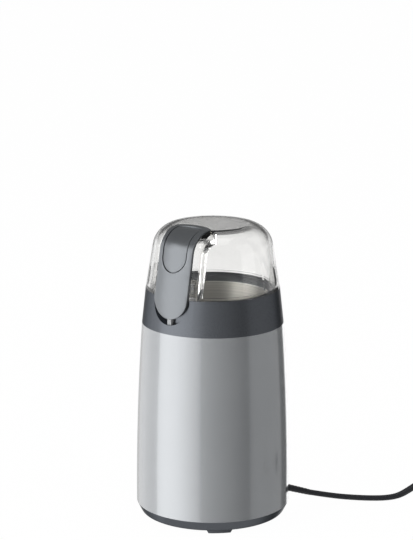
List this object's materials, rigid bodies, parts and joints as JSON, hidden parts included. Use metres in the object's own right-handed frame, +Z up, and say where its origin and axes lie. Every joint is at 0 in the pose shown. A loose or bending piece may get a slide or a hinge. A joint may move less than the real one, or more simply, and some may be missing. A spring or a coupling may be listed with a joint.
{
  "type": "electric spice grinder",
  "caption": "Upright electric spice grinder with a tapered housing, clear domed lid, press-down lever strip, steel bowl, flat blade and mains cord.",
  "frame": {"origin": "on the main axis, at the height of the surface that the rubber feet stand on", "axes": "+Z up along the main axis; -Y is the side of the press lever; +X to the right of someone who faces the lever"},
  "size_m": [0.212, 0.2328, 0.1956],
  "materials": {
    "housing": "silver lacquer, satin",
    "collar": "dark grey, satin",
    "lever": "slate grey, satin",
    "thumb_pad": "slate grey, fine matt",
    "clear_lid": "clear polycarbonate, polished",
    "steel": "drawn stainless, bright",
    "dark_base": "black, fine matt",
    "inner_plastic": "natural, matt",
    "rubber": "black, matt",
    "zinc_steel": "zinc plated",
    "core_steel": "stacked sheet, varnished",
    "copper": "enamelled copper wire",
    "bronze": "plain",
    "carbon": "pressed carbon",
    "cord": "dark grey, smooth",
    "plug": "dark grey, moulded"
  },
  "bodies": {
    "housing": {"outer_shell": "housing", "collar": "collar", "base_plate": "dark_base", "base_screws": "zinc_steel", "rubber_feet": "rubber", "grinding_bowl": "steel", "bowl_seal": "rubber", "bowl_carrier": "inner_plastic", "shaft_seal": "rubber", "motor_upper_bracket": "inner_plastic", "motor_lower_bracket": "inner_plastic", "upper_bearing": "bronze", "lower_bearing": "bronze", "motor_mounts": "rubber", "motor_screws": "zinc_steel", "motor_bolts": "zinc_steel", "stator_core": "core_steel", "field_coils": "copper", "brush_holder_left": "bronze", "brush_holder_right": "bronze", "carbon_brush_left": "carbon", "carbon_brush_right": "carbon", "brush_spring_left": "zinc_steel", "brush_spring_right": "zinc_steel", "switch_body": "dark_base", "plunger_spring": "zinc_steel", "switch_bracket": "zinc_steel", "cord_strain_relief": "cord", "inner_cord": "cord", "cord_clamp": "dark_base", "clamp_screws": "zinc_steel", "mains_cord": "cord", "cord_coil": "cord", "cord_tail": "cord", "cord_tie": "dark_base", "plug_body": "plug", "plug_pins": "bronze", "suppression_capacitor": "inner_plastic"},
    "lid": {"lid_dome": "clear_lid", "lever_spring": "zinc_steel"},
    "lever": {"press_lever": "lever", "guide_pins": "zinc_steel", "thumb_pad": "thumb_pad"},
    "plunger": {"plunger": "inner_plastic"},
    "leaf": {"switch_leaf": "steel"},
    "button": {"switch_button": "inner_plastic"},
    "rotor": {"motor_shaft": "steel", "rotor_core": "core_steel", "rotor_windings": "copper", "commutator": "bronze", "cooling_fan": "inner_plastic", "blade": "steel", "blade_nut": "dark_base"}
  },
  "joints": [
    {"name": "lid_lift", "type": "slide", "parent": "housing", "child": "lid", "axis": [0, 0, 1], "range_m": [0, 0.08]},
    {"name": "lever_press", "type": "slide", "parent": "lid", "child": "lever", "axis": [0, 0, -1], "range_m": [0, 0.003], "stiffness_N_per_m": 300, "springref_m": -0.003, "deforming": ["lever_spring"]},
    {"name": "plunger_press", "type": "slide", "parent": "housing", "child": "plunger", "axis": [0, 0, -1], "range_m": [0, 0.003], "stiffness_N_per_m": 60, "springref_m": -0.003, "deforming": ["plunger_spring"]},
    {"name": "leaf_turn", "type": "hinge", "parent": "housing", "child": "leaf", "pos_m": [0.009, -0.0405, 0.1073], "axis": [0, -1, 0], "range_deg": [0, 18.6]},
    {"name": "button_press", "type": "slide", "parent": "housing", "child": "button", "axis": [0, 0, -1], "range_m": [0, 0.0013]},
    {"name": "rotor_spin", "type": "hinge", "parent": "housing", "child": "rotor", "pos_m": [0, 0, 0.06], "axis": [0, 0, 1], "continuous": true}
  ],
  "couplings": [
    {"joint": "plunger_press", "follows": "lever_press", "ratio": 1},
    {"joint": "leaf_turn", "follows": "lever_press", "rad_per_m": 108},
    {"joint": "button_press", "follows": "lever_press", "ratio": 0.433}
  ]
}
